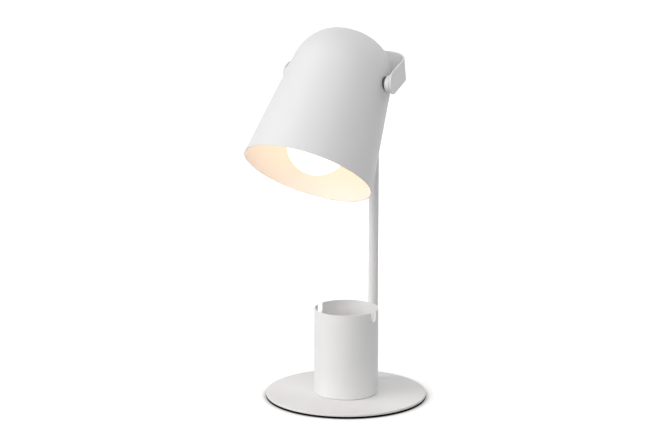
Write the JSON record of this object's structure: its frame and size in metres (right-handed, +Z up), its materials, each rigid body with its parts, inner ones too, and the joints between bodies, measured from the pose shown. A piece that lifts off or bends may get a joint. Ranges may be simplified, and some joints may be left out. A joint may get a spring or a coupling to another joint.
{
  "type": "desk lamp with organizer",
  "caption": "Desk lamp: a tilting domed metal shade in a yoke on a slim pole, over a round base that carries a cylindrical pen cup with rim slots.",
  "frame": {"origin": "centre of the round base at its underside", "axes": "+Z up, -Y the way the shade faces, +X to the right of someone who looks along +Y; the tilt axis lies along X"},
  "size_m": [0.16, 0.2052, 0.3755],
  "materials": {
    "white_coat": "fine satin powder coat",
    "black_foam": "dense closed-cell foam, matt",
    "zinc_steel": "bright zinc plate",
    "black_rubber": "moulded, matt",
    "white_nylon": "moulded, satin",
    "brass": "bright",
    "white_porcelain": "glazed",
    "opal_globe": "opal diffuser, satin",
    "white_plastic": "moulded, satin",
    "board_aluminium": "white solder mask on aluminium",
    "nickel_brass": "nickel plated",
    "black_glass": "glossy"
  },
  "bodies": {
    "base": {"base_pad": "black_foam", "base_plate": "white_coat", "base_screw": "zinc_steel", "pen_cup": "white_coat", "cup_screw_left": "zinc_steel", "cup_screw_right": "zinc_steel", "pole": "white_coat", "pole_foot_plug": "zinc_steel", "pole_head": "white_coat", "inlet_grommet": "white_nylon", "outlet_grommet": "white_nylon", "yoke": "white_coat", "yoke_screw_lower": "zinc_steel", "yoke_screw_upper": "zinc_steel", "pivot_boss_left": "white_coat", "pivot_boss_right": "white_coat", "spring_washer_left": "zinc_steel", "spring_washer_right": "zinc_steel", "pivot_screw_left": "zinc_steel", "pivot_screw_right": "zinc_steel"},
    "shade_head": {"shade": "white_coat", "shade_grommet": "white_nylon", "friction_washer_left": "black_rubber", "friction_washer_right": "black_rubber", "inner_washer_left": "white_nylon", "inner_washer_right": "white_nylon", "holder_bridge": "zinc_steel", "holder_body": "white_porcelain", "holder_liner": "brass", "holder_contact": "brass", "holder_nipple": "zinc_steel", "holder_nut": "zinc_steel", "bulb_globe": "opal_globe", "bulb_body": "white_plastic", "bulb_light_board": "board_aluminium", "bulb_cap": "nickel_brass", "bulb_insulator": "black_glass", "bulb_tip_contact": "brass"}
  },
  "joints": [
    {"name": "shade_tilt", "type": "hinge", "parent": "base", "child": "shade_head", "pos_m": [0, -0.0134, 0.3252], "axis": [-1, 0, 0], "range_deg": [-30, 60]}
  ]
}
